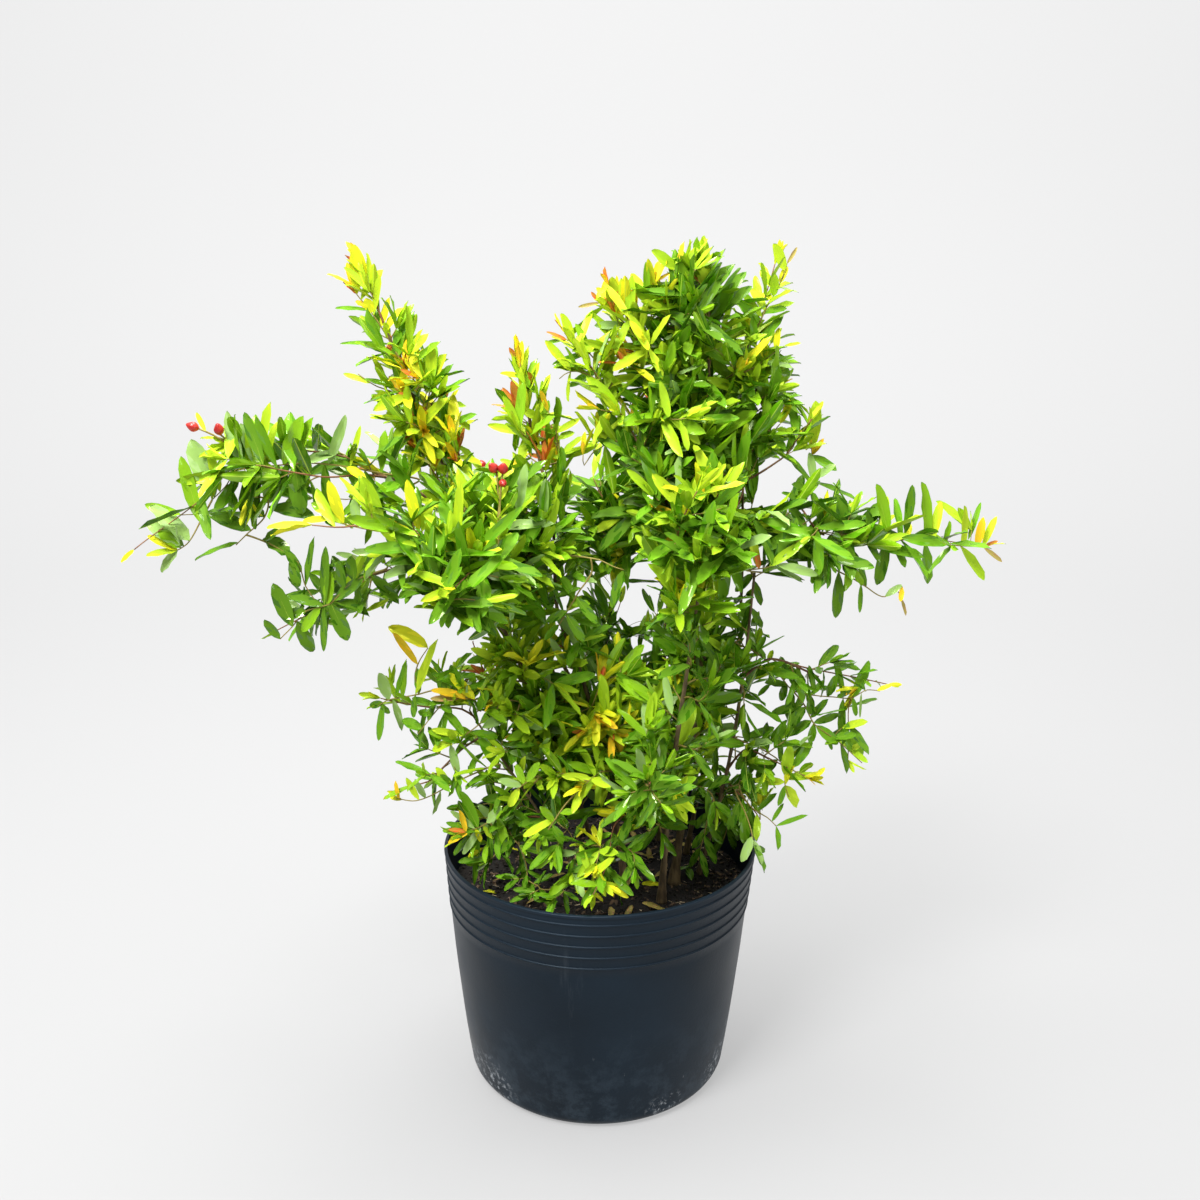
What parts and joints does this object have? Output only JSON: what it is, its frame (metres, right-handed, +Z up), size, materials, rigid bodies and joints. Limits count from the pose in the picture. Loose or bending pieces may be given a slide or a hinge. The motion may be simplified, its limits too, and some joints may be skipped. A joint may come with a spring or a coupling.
{
  "type": "potted pomegranate shrub",
  "caption": "Young pomegranate shrub with slender stems from one root, long leafy arms and small glossy leaves, standing in a round black nursery pot.",
  "frame": {"origin": "centre of the pot's flat underside, where it stands", "axes": "+Z up; +X towards the long arm on the right; +Y towards the back of the plant"},
  "size_m": [0.7491, 0.4459, 0.792],
  "materials": {
    "pot": "satin",
    "soil": "rough",
    "stem": "rough",
    "bough": "rough",
    "leaves": "satin",
    "twig": "satin",
    "bud": "satin"
  },
  "bodies": {
    "root": {"bough_arm_left": "bough", "bough_arm_left_low": "bough", "bough_arm_left_mid": "bough", "bough_arm_right": "bough", "bough_back_left": "bough", "bough_back_right": "bough", "bough_front": "bough", "bough_low_left": "bough", "bough_low_right": "bough", "bough_low_right_foot": "bough", "bough_spur_right": "bough", "bough_top_far_left": "bough", "bough_top_left": "bough", "leaves_arm_left": "leaves", "leaves_arm_left_low": "leaves", "leaves_arm_left_mid": "leaves", "leaves_arm_left_tip": "leaves", "leaves_arm_right": "leaves", "leaves_arm_right_tip": "leaves", "leaves_back_left": "leaves", "leaves_back_right": "leaves", "leaves_body_back": "leaves", "leaves_body_left": "leaves", "leaves_body_mid": "leaves", "leaves_body_right": "leaves", "leaves_crown_back": "leaves", "leaves_crown_left": "leaves", "leaves_crown_right": "leaves", "leaves_crown_right_back": "leaves", "leaves_crown_right_front": "leaves", "leaves_front": "leaves", "leaves_low_left": "leaves", "leaves_low_left_foot": "leaves", "leaves_low_right": "leaves", "leaves_low_right_foot": "leaves", "leaves_low_right_tip": "leaves", "leaves_rim_right": "leaves", "leaves_rosette_left": "leaves", "leaves_skirt_front": "leaves", "leaves_skirt_left": "leaves", "leaves_skirt_right": "leaves", "leaves_spire_left": "leaves", "leaves_spire_left_tip": "leaves", "leaves_spire_mid": "leaves", "leaves_spur_right": "leaves", "leaves_top_far_left": "leaves", "leaves_top_left": "leaves", "leaves_top_main": "leaves", "leaves_top_right": "leaves", "pot": "pot", "soil": "soil", "stem_back": "stem", "stem_back_left": "stem", "stem_back_right": "stem", "stem_front": "stem", "stem_left": "stem", "stem_left_low": "stem", "stem_low_left": "stem", "stem_main": "stem", "stem_right": "stem"}
  },
  "joints": []
}
